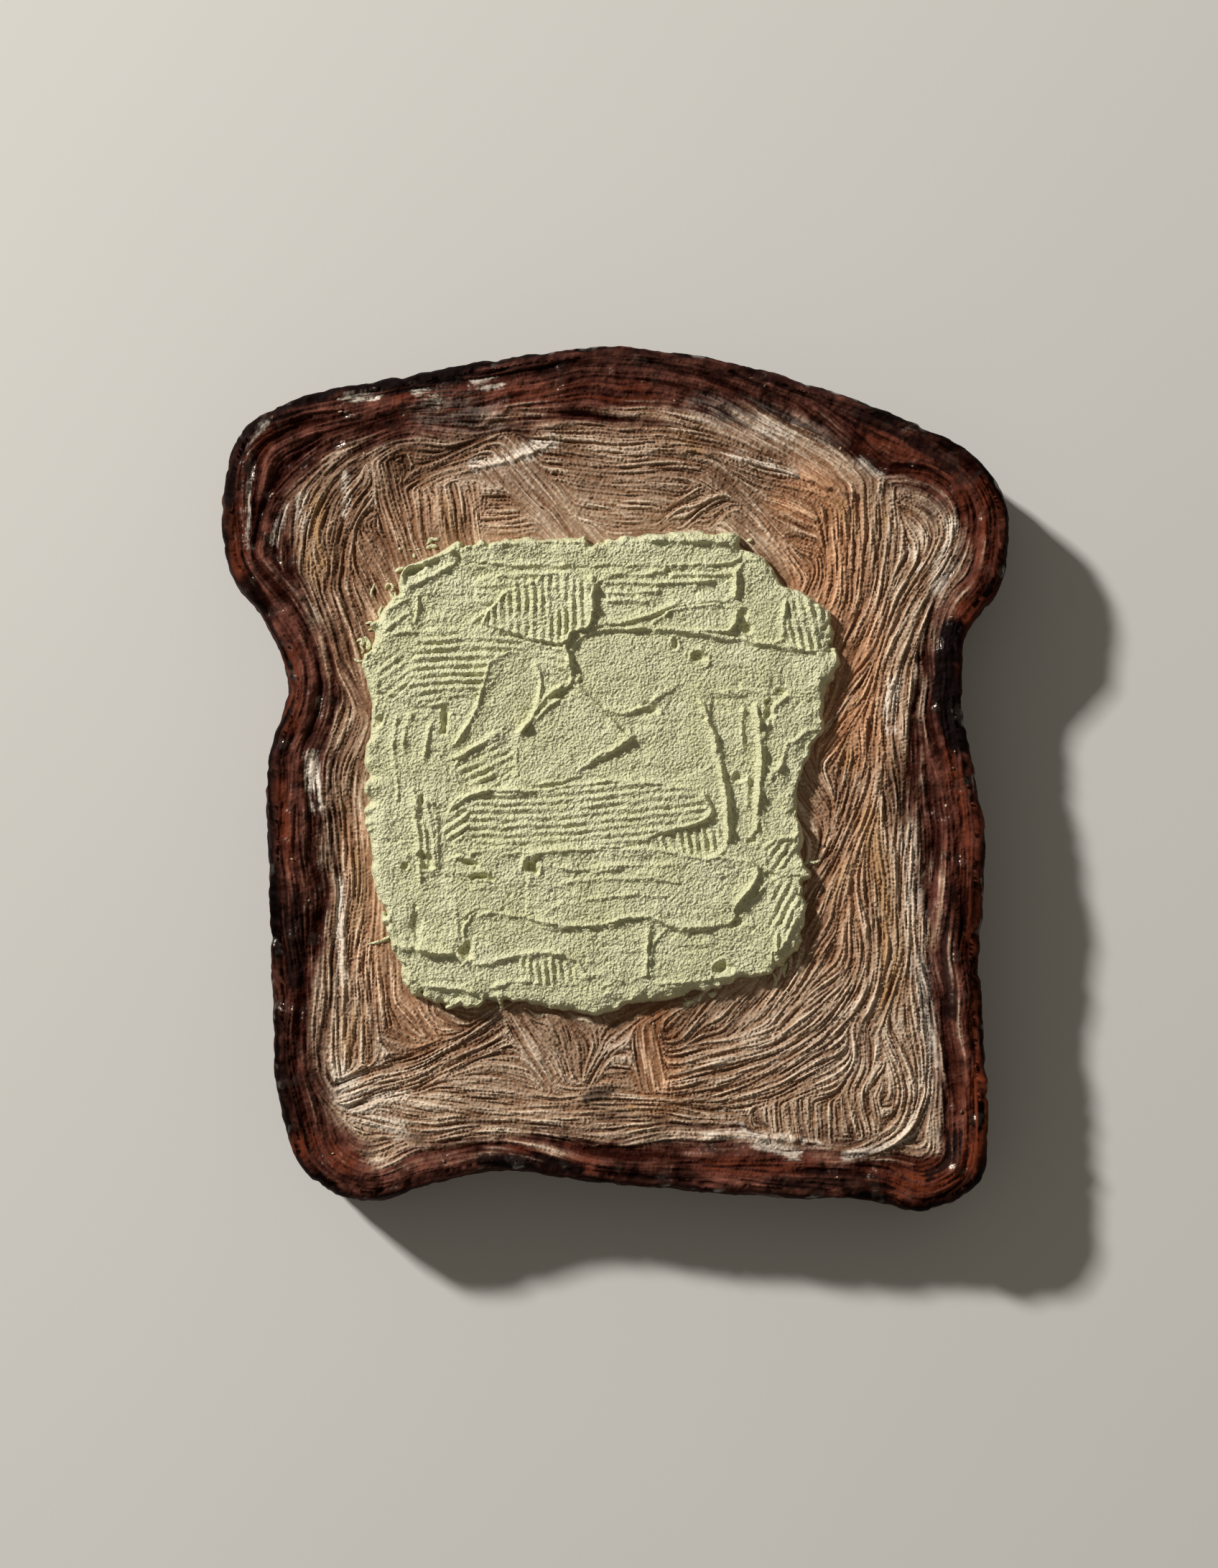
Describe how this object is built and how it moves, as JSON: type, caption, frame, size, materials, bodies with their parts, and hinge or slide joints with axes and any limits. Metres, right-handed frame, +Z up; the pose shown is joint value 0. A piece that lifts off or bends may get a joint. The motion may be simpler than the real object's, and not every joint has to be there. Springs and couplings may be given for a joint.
{
  "type": "buttered toast",
  "caption": "Slice of dark tin-loaf toast lying flat, with a domed top, waisted sides and a thick knife-spread patch of butter.",
  "frame": {"origin": "middle of the bounding box in plan, on the flat lower cut face that the slice rests on", "axes": "+Z up out of the buttered cut face, +Y towards the domed top of the loaf, +X to the right when looking down with the dome away from the viewer"},
  "size_m": [0.1124, 0.1238, 0.0173],
  "materials": {
    "toast": "dry, matte, dark brown crumb with a nearly black crust",
    "butter": "pale cream yellow, fine grained, soft sheen"
  },
  "bodies": {
    "root": {"toast": "toast", "butter": "butter"}
  },
  "joints": []
}
